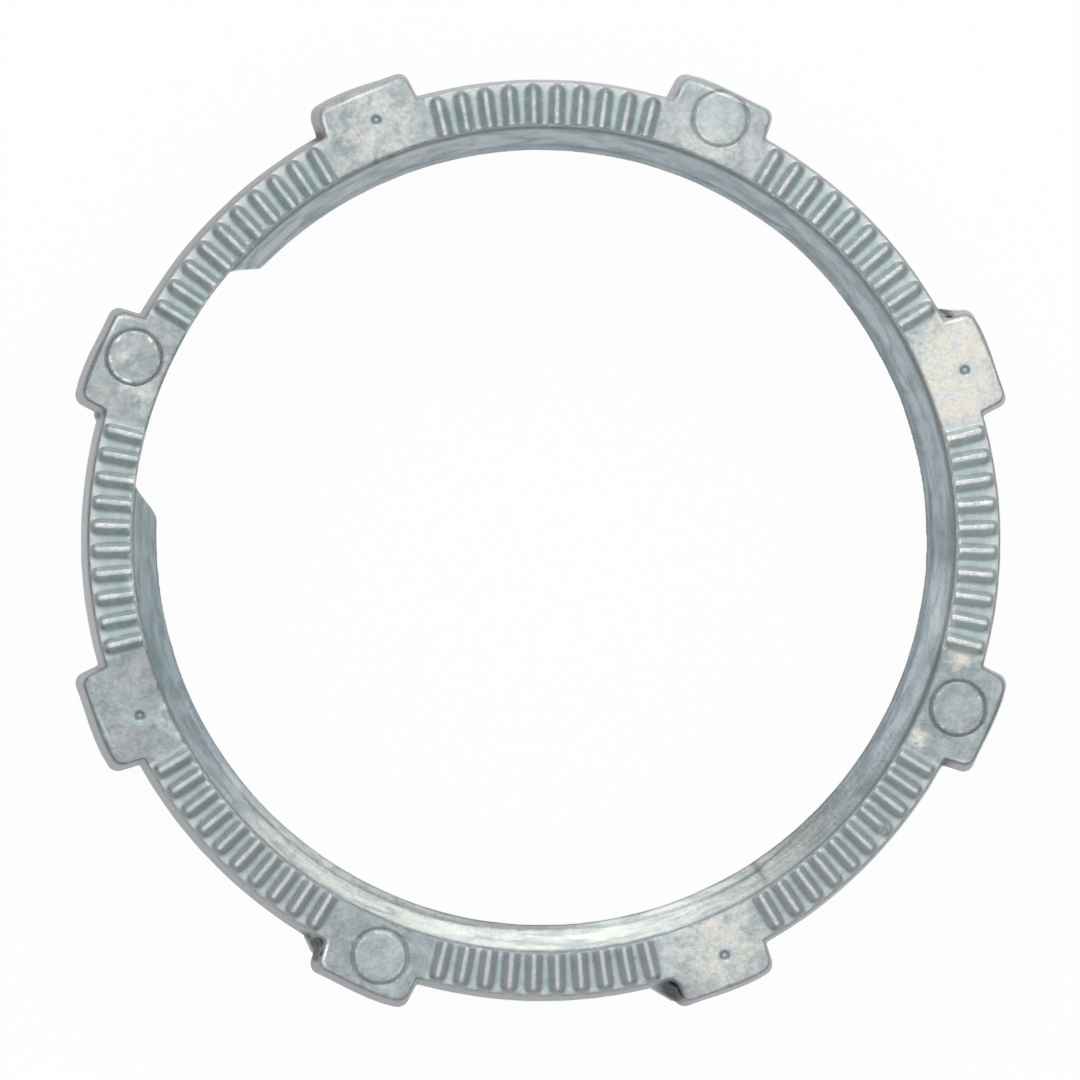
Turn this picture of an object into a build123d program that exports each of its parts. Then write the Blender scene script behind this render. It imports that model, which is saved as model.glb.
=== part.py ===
from build123d import *
from math import atan, cos, degrees, radians, sin, sqrt, tan
import os

# Conduit locknut: one die-cast ring with driving lugs, ribs on its bearing face
# and a single turn of internal pipe thread.
# The origin is on the bore axis at the flat back face, and +Z points to the ribbed face.
# Lengths are in millimetres and angles in degrees, counted anticlockwise from +X seen from +Z.

# Ring: the wall is thickest at the parting plane, because both halves have draft
bore_radius = 36.6
face_height = 8.8
parting_height = 4.6
face_wall = 3.9
parting_flare = 0.47
back_flare = 0.2
back_edge_chamfer = 0.3

# Driving lugs: each reach is measured from the ring at the same height
lug_count = 8
first_lug_angle = 22.5
lug_face_half_width = 4.35
lug_taper = 0.35
lug_draft = 0.5
lug_face_reach = 2.2
lug_parting_reach = 2.33
lug_back_reach = 2.3
lug_corner_radius = 0.8
lug_foot_fillet = 0.35
lug_root_depth = 1.6

# Webs cast in the foot of some lugs at the parting plane: lug number, side, width, reach.
# Side +1 is the anticlockwise flank and -1 the clockwise one.
foot_webs = [
    (0, +1, 0.6, 1.4),
    (3, +1, 0.8, 0.5),
    (5, -1, 1.1, 0.75),
    (6, -1, 1.0, 1.4),
]

# Ribs on the bearing face, in equal groups between the lugs
ribs_per_group = 10
rib_pitch_angle = 3.09
rib_height = 0.7
rib_base_width = 1.5
rib_crest_width = 0.4
rib_end_setback = 0.1
rib_root_depth = 0.1

# Thread: one ridge that starts near the bearing face and sinks clockwise
thread_pitch = 3.175
thread_depth = 2.4
thread_flank_angle = 30.0
thread_crest_flat = 0.5
thread_start_depth = 0.1
thread_face_end_angle = 135.0
thread_back_end_angle = 177.0
thread_ramp_angle = 5.5
thread_corner_radius = 1.0
thread_root_depth = 0.3
thread_crest_overcut = 0.12
lead_in_depth = 2.2
lead_out_depth = 4.3
lead_in_slope = 0.6

# Marks of the ejector pins: angle, distance inside the lug tip, height of the disc above the face
pin_mark_diameter = 5.1
pin_groove_width = 0.2
pin_groove_depth = 0.14
pin_marks = [
    (67.3, 2.3, 0.0),
    (156.3, 2.9, 0.08),
    (248.4, 2.9, 0.0),
    (337.8, 3.0, 0.06),
]

# Small pips in sunk rings: angle and distance inside the lug tip
pip_ring_diameter = 0.85
pip_diameter = 0.4
pip_ring_depth = 0.2
pip_marks = [
    (21.9, 2.4),
    (112.0, 2.7),
    (203.6, 3.5),
    (293.4, 2.5),
]

# Casting pit at the outer end of a rib, inside the edge of the face
pit_angle = 319.5
pit_inset = 0.75
pit_radius = 0.45
pit_depth = 0.55

# Sizes worked out from those above
total_height = face_height + rib_height
face_outer_radius = bore_radius + face_wall
parting_outer_radius = face_outer_radius + parting_flare
back_outer_radius = face_outer_radius + back_flare
lug_face_tip_radius = face_outer_radius + lug_face_reach
lug_parting_tip_radius = parting_outer_radius + lug_parting_reach
lug_back_tip_radius = back_outer_radius + lug_back_reach
lug_pitch_angle = 360.0 / lug_count
thread_lead_per_degree = thread_pitch / 360.0
thread_crest_radius = bore_radius - thread_depth


def polar(radius, angle):
    return (radius * cos(radians(angle)), radius * sin(radians(angle)))


def ring_blank():
    section = make_face(Polyline(
        (bore_radius, 0),
        (back_outer_radius, 0),
        (parting_outer_radius, parting_height),
        (face_outer_radius, face_height),
        (bore_radius, face_height),
        close=True,
    ))
    back_corner = section.vertices().sort_by_distance((back_outer_radius, 0, 0))[0]
    section = chamfer([back_corner], back_edge_chamfer)
    return revolve(Plane.XZ * section, Axis.Z)


def web_size(number, side):
    for web_number, web_side, width, reach in foot_webs:
        if web_number == number and web_side == side:
            return width, reach
    return lug_foot_fillet, lug_foot_fillet


def lug_section(height, ring_radius, tip_radius, half_width, clockwise_web, other_web):
    """Outline of a lug that points along +X, at one height."""
    root = ring_radius - lug_root_depth
    foot = ring_radius - lug_foot_fillet / 2
    corner_radius = min(lug_corner_radius, 0.6 * (tip_radius - ring_radius))
    corner_start = tip_radius - corner_radius
    corner_mid = corner_radius * (1 - sin(radians(45)))
    flank_length = corner_start - ring_radius
    tip_half_width = half_width - lug_taper

    def half_width_at(x):
        return half_width - lug_taper * (x - ring_radius) / (tip_radius - ring_radius)

    def side_points(side, web):
        width = web[0]
        reach = min(web[1], 0.95 * flank_length)
        web_top = (ring_radius + reach, side * half_width_at(ring_radius + reach))
        web_foot = (foot, side * (half_width + width))
        web_mid = (
            ring_radius + reach * 0.36,
            side * (half_width_at(ring_radius + reach * 0.36) + width * 0.36),
        )
        corner = (corner_start, side * half_width_at(corner_start))
        rounding = (tip_radius - corner_mid, side * (tip_half_width - corner_mid))
        tip = (tip_radius, side * (tip_half_width - corner_radius))
        return web_foot, web_mid, web_top, corner, rounding, tip

    low = side_points(-1, clockwise_web)
    high = side_points(+1, other_web)
    crown = (tip_radius + tip_half_width ** 2 / (2 * tip_radius) * 0.6, 0)
    edges = [
        Line((root, high[0][1]), (root, low[0][1])),
        Line((root, low[0][1]), low[0]),
        ThreePointArc(low[0], low[1], low[2]),
        Line(low[2], low[3]),
        ThreePointArc(low[3], low[4], low[5]),
        ThreePointArc(low[5], crown, high[5]),
        ThreePointArc(high[5], high[4], high[3]),
        Line(high[3], high[2]),
        ThreePointArc(high[2], high[1], high[0]),
        Line(high[0], (root, high[0][1])),
    ]
    return Pos(0, 0, height) * make_face(edges)


def lug(number):
    plain = (lug_foot_fillet, lug_foot_fillet)
    webs = (web_size(number, -1), web_size(number, +1))
    face = lug_section(
        face_height, face_outer_radius, lug_face_tip_radius, lug_face_half_width, plain, plain
    )
    parting = lug_section(
        parting_height, parting_outer_radius, lug_parting_tip_radius,
        lug_face_half_width + lug_draft, webs[0], webs[1],
    )
    back = lug_section(
        0, back_outer_radius, lug_back_tip_radius, lug_face_half_width + lug_draft / 2,
        webs[0], webs[1],
    )
    upper = loft([parting, face], ruled=True)
    lower = loft([back, parting], ruled=True)
    angle = first_lug_angle + number * lug_pitch_angle
    return [Rot(0, 0, angle) * upper, Rot(0, 0, angle) * lower]


def rib():
    """One rib along +X, with its outer corners cut off and its inner end inside the bore."""
    height = rib_height + rib_root_depth
    flank_slope = (rib_base_width - rib_crest_width) / 2 / rib_height
    foot_half = rib_base_width / 2 + flank_slope * rib_root_depth
    end = face_outer_radius - rib_end_setback
    start = bore_radius - 2 * foot_half
    nose = foot_half * (2 - sqrt(2))
    outline = make_face(Polyline(
        (start, -foot_half),
        (end - nose, -foot_half),
        (end, nose - foot_half),
        (end, foot_half - nose),
        (end - nose, foot_half),
        (start, foot_half),
        close=True,
    ))
    blank = extrude(outline, amount=height, taper=degrees(atan(flank_slope)))
    return Pos(0, 0, face_height - rib_root_depth) * blank


def ribs():
    model = rib()
    group_span = (ribs_per_group - 1) * rib_pitch_angle
    copies = []
    for number in range(lug_count):
        middle = first_lug_angle + (number + 0.5) * lug_pitch_angle
        for step in range(ribs_per_group):
            angle = middle - group_span / 2 + step * rib_pitch_angle
            copies.append(Rot(0, 0, angle) * model)
    return copies


def thread_ridge():
    """Helical ridge with a V section, trimmed in plan to its ramped ends."""
    flank_slope = tan(radians(thread_flank_angle))
    root_width = thread_crest_flat + 2 * thread_depth * flank_slope
    inner = thread_crest_radius - thread_crest_overcut
    outer = bore_radius + thread_root_depth
    inner_half = thread_crest_flat / 2 - thread_crest_overcut * flank_slope
    outer_half = root_width / 2 + thread_root_depth * flank_slope

    start_angle = thread_back_end_angle - thread_ramp_angle
    end_angle = thread_face_end_angle + thread_ramp_angle + 360.0
    sweep_angle = end_angle - start_angle
    sunk_turn = 360.0 + thread_face_end_angle - start_angle
    start_height = (
        face_height - thread_start_depth - root_width / 2 - sunk_turn * thread_lead_per_degree
    )
    path = Helix(
        pitch=thread_pitch,
        height=sweep_angle * thread_lead_per_degree,
        radius=bore_radius,
    )
    section = make_face(Polyline(
        (inner, 0, -inner_half),
        (outer, 0, -outer_half),
        (outer, 0, outer_half),
        (inner, 0, inner_half),
        close=True,
    ))
    ridge = sweep(section, path=path, is_frenet=True)
    ridge = Pos(0, 0, start_height) * Rot(0, 0, start_angle) * ridge
    return (ridge & thread_plan()) - lead_in_cone() - lead_out_cone()


def ramp_line(foot_angle, crest_angle):
    """Plan line of a ramp, from well inside the ring wall to the crest."""
    foot = Vector(*polar(bore_radius, foot_angle))
    crest = Vector(*polar(thread_crest_radius, crest_angle))
    return foot + (foot - crest) * 0.5, crest


def thread_plan():
    """Sector of the ridge seen along the axis, with both ramps and their rounded corners."""
    back_foot_angle = thread_back_end_angle - thread_ramp_angle
    face_foot_angle = thread_face_end_angle + thread_ramp_angle
    gap_middle = (back_foot_angle + face_foot_angle) / 2
    outer = bore_radius + 2 * thread_root_depth
    face_foot, face_crest = ramp_line(face_foot_angle, thread_face_end_angle)
    back_foot, back_crest = ramp_line(back_foot_angle, thread_back_end_angle)
    beyond = Vector(*polar(2 * bore_radius, gap_middle))
    opening = make_face(Polyline(
        face_foot, face_crest, (0, 0), back_crest, back_foot, beyond, close=True
    ))
    plan = Circle(outer) - Circle(thread_crest_radius) - opening
    corners = [plan.vertices().sort_by_distance(corner)[0] for corner in (face_crest, back_crest)]
    plan = fillet(corners, thread_corner_radius)
    return extrude(plan, amount=face_height)


def lead_in_cone():
    """Cone that eases the crest of the ridge near the bearing face."""
    cone = Cone(
        bottom_radius=thread_crest_radius,
        top_radius=thread_crest_radius + lead_in_slope * lead_in_depth,
        height=lead_in_depth,
        align=(Align.CENTER, Align.CENTER, Align.MIN),
    )
    return Pos(0, 0, face_height - lead_in_depth) * cone


def lead_out_cone():
    """Cone that eases the crest of the ridge towards the back face."""
    height = face_height - lead_out_depth
    return Cone(
        bottom_radius=thread_crest_radius + lead_in_slope * height,
        top_radius=thread_crest_radius,
        height=height,
        align=(Align.CENTER, Align.CENTER, Align.MIN),
    )


def pin_mark_cuts():
    outer = pin_mark_diameter / 2
    groove = extrude(Circle(outer) - Circle(outer - pin_groove_width), amount=pin_groove_depth)
    depth = face_height - pin_groove_depth
    return [Pos(*polar(lug_face_tip_radius - inset, angle), depth) * groove
            for angle, inset, _ in pin_marks]


def pin_mark_discs():
    discs = []
    for angle, inset, rise in pin_marks:
        if rise > 0:
            disc = Cylinder(
                pin_mark_diameter / 2 - pin_groove_width,
                rise + pin_groove_depth,
                align=(Align.CENTER, Align.CENTER, Align.MIN),
            )
            place = Pos(*polar(lug_face_tip_radius - inset, angle), face_height - pin_groove_depth)
            discs.append(place * disc)
    return discs


def pip_cuts():
    ring = Circle(pip_ring_diameter / 2) - Circle(pip_diameter / 2)
    cut = extrude(ring, amount=pip_ring_depth)
    return [Pos(*polar(lug_face_tip_radius - inset, angle), face_height - pip_ring_depth) * cut
            for angle, inset in pip_marks]


def pit_cut():
    cone = Cone(
        bottom_radius=pit_radius / 3,
        top_radius=pit_radius,
        height=pit_depth + rib_height,
        align=(Align.CENTER, Align.CENTER, Align.MIN),
    )
    return Pos(*polar(face_outer_radius - pit_inset, pit_angle), face_height - pit_depth) * cone


def locknut():
    body = ring_blank()
    for number in range(lug_count):
        for piece in lug(number):
            body += piece
    body = body.fuse(*ribs())
    body = body.cut(Cylinder(bore_radius, 4 * total_height))
    body = body.cut(*pin_mark_cuts(), *pip_cuts(), pit_cut())
    discs = pin_mark_discs()
    if discs:
        body = body.fuse(*discs)
    return body + thread_ridge()


os.makedirs("parts", exist_ok=True)
nut = locknut()
solid = nut.solids()[0]
solid.label = "locknut"
print("solids", len(nut.solids()), "valid", solid.is_valid, "volume", round(solid.volume, 1))
export_step(solid, "parts/locknut.step")
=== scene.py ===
from math import atan2, cos, degrees, hypot, pi, radians, sin, sqrt, tan

import bmesh
import bpy
import numpy as np
from bpy.props import FloatProperty, FloatVectorProperty, IntProperty, PointerProperty
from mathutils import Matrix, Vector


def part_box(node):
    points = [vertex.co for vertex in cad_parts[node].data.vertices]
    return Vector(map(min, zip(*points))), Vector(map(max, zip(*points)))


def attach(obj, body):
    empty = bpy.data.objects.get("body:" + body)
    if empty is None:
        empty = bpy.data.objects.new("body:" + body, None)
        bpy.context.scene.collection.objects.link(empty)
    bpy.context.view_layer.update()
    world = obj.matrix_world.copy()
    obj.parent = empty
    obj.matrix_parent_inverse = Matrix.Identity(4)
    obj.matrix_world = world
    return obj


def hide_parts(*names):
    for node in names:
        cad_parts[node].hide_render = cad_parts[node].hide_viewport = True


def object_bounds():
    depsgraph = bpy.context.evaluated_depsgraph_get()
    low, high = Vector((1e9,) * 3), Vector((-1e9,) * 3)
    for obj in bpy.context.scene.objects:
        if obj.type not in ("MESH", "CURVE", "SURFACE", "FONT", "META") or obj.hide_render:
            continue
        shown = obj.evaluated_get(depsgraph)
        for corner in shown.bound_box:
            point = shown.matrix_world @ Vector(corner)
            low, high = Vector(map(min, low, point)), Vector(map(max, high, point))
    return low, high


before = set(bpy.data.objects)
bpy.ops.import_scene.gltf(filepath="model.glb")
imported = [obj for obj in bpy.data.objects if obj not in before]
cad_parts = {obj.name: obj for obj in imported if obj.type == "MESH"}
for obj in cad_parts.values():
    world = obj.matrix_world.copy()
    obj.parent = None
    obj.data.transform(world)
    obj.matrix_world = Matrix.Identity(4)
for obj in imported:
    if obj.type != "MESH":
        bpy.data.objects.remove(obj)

bl_info = {
    "name": "Conduit Locknut",
    "version": (1, 0, 0),
    "blender": (4, 5, 0),
    "location": "View3D > Sidebar > Locknut",
    "description": "Models a die-cast conduit locknut with lugs, a ribbed face and one turn of thread",
    "category": "Object",
}

CAD_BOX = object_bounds()
CAD_TOP = float(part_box("locknut")[1][2])
MM = 0.001

# Points closer than this are one point
MERGE = 0.002 * MM
# Triangles of the casting at most
MOST_TRIANGLES = 190000
# Places along y, in millimetres, between which the skin changes to that of the front of the nut,
# and between which the thread takes the painted light of the stretch that faces the lamps
FRONT = (-16.0, -32.0)
LIT_STRETCH = (-18.0, -29.0)
# Grain of the streaks on the thread: radius of the noise round the bore, and its scale across
STREAKS_ROUND = 9.0
STREAKS_ACROSS = 1.7
# How far the painted highlight on the rib crests lies off their middles, towards the far lamp, in
# millimetres
HIGHLIGHT_SHIFT = 0.1
# Share of plain white in the floor, as the camera and reflections see it
FLOOR_GLOW = 0.96


def length(name, description, millimetres):
    return FloatProperty(
        name=name,
        description=description,
        default=millimetres * MM,
        min=0.0,
        precision=5,
        unit="LENGTH",
    )


def angle(name, description, in_degrees):
    return FloatProperty(name=name, description=description, default=radians(in_degrees), unit="ROTATION")


def colour(name, description, red, green, blue):
    return FloatVectorProperty(
        name=name,
        description=description,
        default=(red, green, blue),
        size=3,
        min=0.0,
        max=1.0,
        subtype="COLOR",
    )


class LocknutSizes(bpy.types.PropertyGroup):
    """Sizes of the locknut: those of its solid, and a few finer ones."""

    bore_radius: length("Bore radius", "Radius of the wall behind the thread", 36.6)
    face_height: length("Face height", "Height of the bearing face above the back face", 8.8)
    parting_height: length("Parting height", "Height of the parting plane of the die", 4.6)
    face_wall: length("Wall at face", "Thickness of the ring at the bearing face", 3.9)
    bore_edge: length("Bore edge", "Bevel between the bore wall and the bearing face", 0.15)
    parting_flare: length("Flare at parting", "How far the ring stands out at the parting plane", 0.47)
    back_flare: length("Flare at back", "How far the ring stands out at the back face", 0.2)
    back_edge: length("Back edge", "Bevel of the outer edge of the back face", 0.3)
    ring_steps: IntProperty(name="Ring steps", description="Steps round the ring", default=360, min=24)

    lug_count: IntProperty(name="Lugs", description="Number of driving lugs", default=8, min=1)
    lug_first: angle("First lug", "Angle of the first lug", 22.5)
    lug_half_width: length("Lug half width", "Half the width of a lug at the face", 4.35)
    lug_taper: length("Lug taper", "How much each flank closes in towards the tip", 0.2)
    lug_draft: length("Lug draft", "How much each flank stands out at the parting plane", 0.45)
    lug_face_reach: length("Reach at face", "Reach of a lug beyond the ring at the face", 2.2)
    lug_parting_reach: length("Reach at parting", "Reach of a lug at the parting plane", 2.22)
    lug_back_reach: length("Reach at back", "Reach of a lug at the back face", 2.3)
    lug_corner: length("Lug corner", "Radius of the corners at the tip of a lug", 0.8)
    lug_crown: length("Lug crown", "How far the tip of a lug bows out in the middle", 0.13)
    lug_root: length("Lug root", "Depth of a lug inside the ring", 1.6)

    ribs_in_group: IntProperty(name="Ribs", description="Ribs between two lugs", default=10, min=1)
    rib_pitch: angle("Rib pitch", "Angle from one rib to the next", 3.09)
    rib_base: length("Rib base", "Width of a rib at its foot", 1.5)
    rib_crest: length("Rib crest", "Width of a rib at its crest", 0.4)
    rib_setback: length("Rib setback", "Gap from the outer end of a rib to the edge", 0.07)
    rib_root: length("Rib root", "Depth of a rib inside the ring", 0.1)
    rib_end_steep: length("Rib end", "How far the crest of a rib is drawn out towards its outer end", 0.22)

    thread_pitch: length("Thread pitch", "Rise of the thread in one turn", 3.175)
    thread_depth: length("Thread depth", "Height of the ridge above the bore wall", 2.4)
    thread_flat: length("Thread flat", "Width of the crest of the thread", 0.5)
    thread_flank: angle("Thread flank", "Slope of the flanks of the thread", 30.0)
    thread_sunk: length("Thread start", "Depth of the thread below the face at its end", 0.1)
    thread_face_end: angle("End at face", "Angle where the thread ends near the face", 135.0)
    thread_back_end: angle("End at back", "Angle where the thread ends near the back", 177.0)
    thread_ramp: angle("Thread ramp", "Angle over which each end of the thread runs out", 5.5)
    lead_in_depth: length("Lead-in depth", "Depth of the cone that opens the thread at the face", 2.88)
    lead_in_step: length("Lead-in step", "Step where the cone at the face starts", 0.24)
    lead_in_slope: FloatProperty(
        name="Lead-in slope",
        description="How much the cone at the face opens for each unit of height",
        default=0.35,
    )
    lead_out_depth: length("Lead-out depth", "Depth below the face where the lower cone starts", 4.3)
    lead_out_slope: FloatProperty(
        name="Lead-out slope",
        description="How much the cone at the back opens for each unit of height",
        default=0.6,
    )

    pin_diameter: length("Pin mark", "Diameter of the marks of the ejector pins", 5.1)
    pin_groove: length("Pin groove", "Depth of the groove round a pin mark", 0.15)
    pip_ring: length("Pip ring", "Diameter of the sunk ring round a pip, where it is deepest", 0.54)
    pip_depth: length("Pip depth", "Depth of the sunk ring round a pip", 0.22)
    grain: length("Grain", "Voxel size with which the pieces are fused", 0.12)
    unevenness: length("Unevenness", "How far the cast skin wanders", 0.06)


class LocknutColours(bpy.types.PropertyGroup):
    """Colours of the casting and of the stage."""

    zinc: colour("Zinc", "Plain dull zinc", 0.43, 0.47, 0.47)
    teal: colour("Teal bloom", "Greenish bloom on the zinc", 0.36, 0.43, 0.43)
    lavender: colour("Lavender bloom", "Purplish bloom on the zinc", 0.42, 0.42, 0.46)
    warm: colour("Warm bloom", "Pinkish bloom on the zinc", 0.50, 0.47, 0.45)
    ivory: colour("Ivory stain", "Pale stain on the lug faces", 0.665, 0.63, 0.55)
    # Also the painted light on the rib valley floors near the rim
    pale_stain_and_valley_light: colour("Grey stain", "Cooler parts of the pale stain", 0.60, 0.61, 0.59)
    wall: colour("Outer wall", "Smooth outer wall", 0.48, 0.475, 0.51)
    # Painted highlight on the rubbed rib crests
    crest: colour("Rib crest", "Rubbed crest of a rib", 0.62, 0.57, 0.52)
    # Painted highlights and glints: on the crests, at the inner ends of the ribs, along the face edges, in
    # spots and on the pin marks
    painted_highlight: colour("Fleck", "Bright bare spots", 0.90, 0.89, 0.85)
    valley: colour("Rib valley", "Floor between two ribs", 0.41, 0.49, 0.485)
    valley_front: colour("Rib valley, front", "Floor between two ribs at the front", 0.35, 0.41, 0.42)
    # Painted shade on the rib flanks, with lighter copies of it at the front and on the right
    flank: colour("Rib flank", "Steep flank of a rib", 0.24, 0.28, 0.29)
    flank_shade_front: colour("Rib flank, front", "Flank of a rib at the front", 0.505, 0.505, 0.525)
    flank_shade_right: colour("Rib flank, right", "Flank of a rib on the right", 0.46, 0.51, 0.51)
    # Painted shade, brownish, on the rounded outer end of a rib
    rib_end_painted_shade: colour("Rib end", "Brownish dark outer end of a rib", 0.20, 0.19, 0.19)
    disc: colour("Pin disc", "Cooler skin on a pin mark", 0.42, 0.50, 0.50)
    halo: colour("Pip halo", "Cool bloom round a pip", 0.40, 0.52, 0.54)
    ridge_dark: colour("Thread, dark streaks", "Darker streaks along the thread", 0.30, 0.365, 0.395)
    ridge_light: colour("Thread, light streaks", "Lighter streaks along the thread", 0.455, 0.51, 0.55)
    # Painted light on the stretch of thread at the front, which faces the lamps: lighter streaks and a
    # painted sheen
    ridge_lit_dark: colour("Bare thread, dark", "Darker streaks on the bare stretch", 0.325, 0.355, 0.35)
    ridge_lit_light: colour("Bare thread, light", "Lighter streaks on the bare stretch", 0.485, 0.505, 0.47)
    ridge_lit_sheen: colour("Thread, bare metal", "Bright metal of the bare stretch", 0.78, 0.79, 0.69)
    # Painted sheen on the rest of the thread
    ridge_sheen: colour("Thread, pale patches", "Pale patches on the rest of the thread", 0.68, 0.71, 0.72)
    ridge_left: colour("Thread, left tint", "Greener tint of the thread on the left", 0.95, 1.0, 0.975)
    # Dark lines: the core line, the seam, chips and grooves, and also painted shade and a painted dark
    # reflection along the bore wall, the thread crest and the face edges
    line: colour("Dirt line", "Dirt in grooves and along edges", 0.10, 0.12, 0.13)
    # Painted shadow in the tight corners of the lug feet, and dark dirt in small pits and on the inner edge
    painted_shadow_and_dirt: colour("Soot", "Dark dirt in tight corners", 0.012, 0.016, 0.02)
    floor: colour("Floor", "Floor under the nut", 0.8, 0.8, 0.8)


# Webs cast in the foot of some lugs: lug number, side, width and reach in millimetres
FOOT_WEBS = [
    (0, +1, 0.75, 1.6),
    (3, +1, 0.45, 0.3),
    (5, -1, 1.1, 0.9),
    (6, -1, 1.35, 1.85),
]
# Pin marks: angle in degrees, distance inside the lug tip and rise of the disc in millimetres,
# how dark the groove is, how strong the painted highlight on its inner edge is and how cool the disc is
PIN_MARKS = [
    (67.3, 2.3, 0.02, 0.45, 0.35, 0.35),
    (156.3, 2.9, 0.08, 0.85, 1.0, 0.05),
    (248.4, 2.9, 0.02, 0.4, 0.45, 0.2),
    (337.8, 3.0, 0.06, 0.8, 0.5, 0.1),
]
# Blow hole beside a rib: angle in degrees, then distance inside the edge, radius and depth in millimetres
BLOW_HOLE = (319.5, 0.75, 0.45, 0.55)
# Line on the upper flank where two cores met: angle in degrees, distance from the axis in millimetres,
# strength of the line, painted light and shade of the skin inside it and painted light and shade of the skin
# outside it, as the lamps fall along the turn
CORE_LINE = [
    (200, 34.95, 0.0, 0.00, -0.05),
    (214, 34.95, 0.2, 0.08, 0.00),
    (226, 34.95, 0.8, 0.18, 0.08),
    (250, 34.86, 0.8, -0.15, 0.05),
    (260, 34.76, 0.7, -0.35, 0.10),
    (274, 34.58, 0.6, -0.30, 0.12),
    (279, 34.75, 0.5, 0.05, 0.12),
    (290, 34.91, 0.8, 0.05, 0.05),
    (300, 35.00, 1.0, 0.00, 0.00),
    (302.4, 35.00, 1.0, -0.10, -0.10),
    (303.2, 35.00, 1.0, -0.60, -0.50),
    (304, 34.90, 1.0, -0.15, -0.10),
    (308, 34.74, 0.8, -0.25, -0.14),
    (314, 34.64, 0.4, -0.30, -0.34),
    (322, 34.63, 0.4, -0.22, -0.24),
    (332, 34.62, 0.4, -0.10, 0.04),
    (346, 34.65, 0.5, -0.12, 0.08),
    (348, 34.65, 0.5, -0.12, 0.16),
    (356, 34.67, 0.5, -0.18, 0.12),
    (358, 34.67, 0.5, -0.22, -0.10),
    (363, 34.67, 0.5, -0.22, -0.10),
    (366, 34.67, 0.5, -0.15, 0.06),
    (390, 34.70, 0.5, -0.15, 0.08),
    (425, 34.90, 0.5, -0.15, 0.08),
    (450, 35.00, 0.5, -0.12, 0.13),
    (500, 35.10, 0.5, -0.10, 0.15),
    (535, 35.10, 0.2, 0.00, 0.04),
    (560, 34.95, 0.0, 0.00, -0.05),
]
# Pits in the feet of lugs: angle in degrees, distance from the axis, spread and depth in millimetres
PITS = [
    (29.2, 41.25, 0.26, 0.9),
    (29.9, 41.2, 0.28, 1.1),
    (164.4, 41.0, 0.24, 0.8),
    (240.5, 41.05, 0.3, 1.0),
    (241.2, 41.7, 0.26, 0.9),
    (285.8, 41.3, 0.45, 0.6),
    (286.3, 41.9, 0.42, 0.45),
]
# Pips: angle in degrees and distance inside the lug tip in millimetres
PIP_MARKS = [
    (21.9, 2.4),
    (112.0, 2.7),
    (203.6, 3.5),
    (293.4, 2.5),
]
# Pale stains: angle in degrees, distance from the axis, spread in millimetres and strength
STAINS = [
    (21.0, 38.8, 4.2, 1.05),
    (24.5, 40.6, 3.2, 0.95),
    (112.5, 39.5, 4.4, 0.36),
    (67.0, 38.2, 3.8, 0.3),
    (293.0, 39.0, 4.2, 0.5),
    (156.7, 40.7, 0.6, 0.7),
    (344.5, 38.5, 1.3, 0.7),
    (332.0, 37.6, 0.9, 0.75),
    (160.0, 38.6, 2.0, 0.35),
    (205.0, 37.8, 1.3, 0.22),
]
# Painted shadow in the feet of lugs, and dark dirt in casting pits and on the inner edge: angle in degrees,
# distance from the axis, spread in millimetres and strength
SHADOW_AND_DIRT = [
    (29.1, 41.25, 0.34, 2.4),
    (29.9, 41.2, 0.36, 2.6),
    (119.4, 40.95, 0.55, 1.5),
    (164.5, 41.05, 0.26, 1.9),
    (239.2, 41.0, 0.34, 1.9),
    (240.6, 41.05, 0.46, 2.4),
    (241.3, 41.8, 0.34, 2.2),
    (241.4, 42.3, 0.25, 1.5),
    (285.4, 41.2, 0.6, 1.8),
    (286.0, 41.4, 0.75, 2.4),
    (286.4, 42.1, 0.65, 1.7),
    (287.2, 41.6, 0.9, 1.1),
    (331.1, 40.9, 0.38, 1.7),
    (73.3, 41.2, 0.25, 0.4),
    (196.3, 41.2, 0.25, 0.4),
    (294.0, 38.3, 0.2, 1.2),
    (293.0, 38.6, 0.16, 0.9),
    (204.8, 38.9, 0.16, 1.1),
    (205.6, 38.5, 0.16, 0.9),
    (112.0, 36.75, 0.3, 0.9),
    (114.2, 36.75, 0.24, 0.9),
]
# Painted glints, small bright spots: angle in degrees, distance from the axis, spread in millimetres and
# strength
PAINTED_GLINTS = [
    (285.0, 41.2, 0.22, 0.9),
    (203.7, 36.9, 0.3, 0.6),
    (206.5, 37.3, 0.26, 0.5),
    (208.0, 36.9, 0.3, 0.6),
    (348.5, 36.9, 0.3, 0.5),
    (5.0, 36.95, 0.28, 0.6),
    (8.4, 36.95, 0.24, 0.5),
    (172.0, 36.9, 0.26, 0.6),
    (186.0, 36.9, 0.3, 0.6),
]
# Skin of each lug face, from the first lug on: tone and warmth
LUG_SKINS = [
    (1.00, 0.3),
    (0.95, 0.4),
    (0.94, 0.6),
    (0.82, 0.3),
    (0.75, 0.2),
    (0.81, 0.0),
    (1.00, 0.5),
    (0.78, -0.2),
]
# Skin of each group of ribs, from the one after the first lug on: tone, strength of the painted highlight on
# the rubbed crests, strength of the painted dark reflection along the outer edge beside it, and painted
# shade of the outer wall there, by side as the lamps fall
GROUP_SKINS = [
    (1.06, 0.8, 0.5, 0.9),
    (0.96, 0.65, 0.1, 0.95),
    (0.95, 0.7, 0.5, 0.62),
    (0.96, 0.8, 0.9, 0.92),
    (0.88, 0.5, 0.25, 0.76),
    (0.93, 0.32, 0.3, 0.7),
    (0.98, 0.55, 0.45, 0.8),
    (1.10, 0.95, 0.6, 0.9),
]
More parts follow.
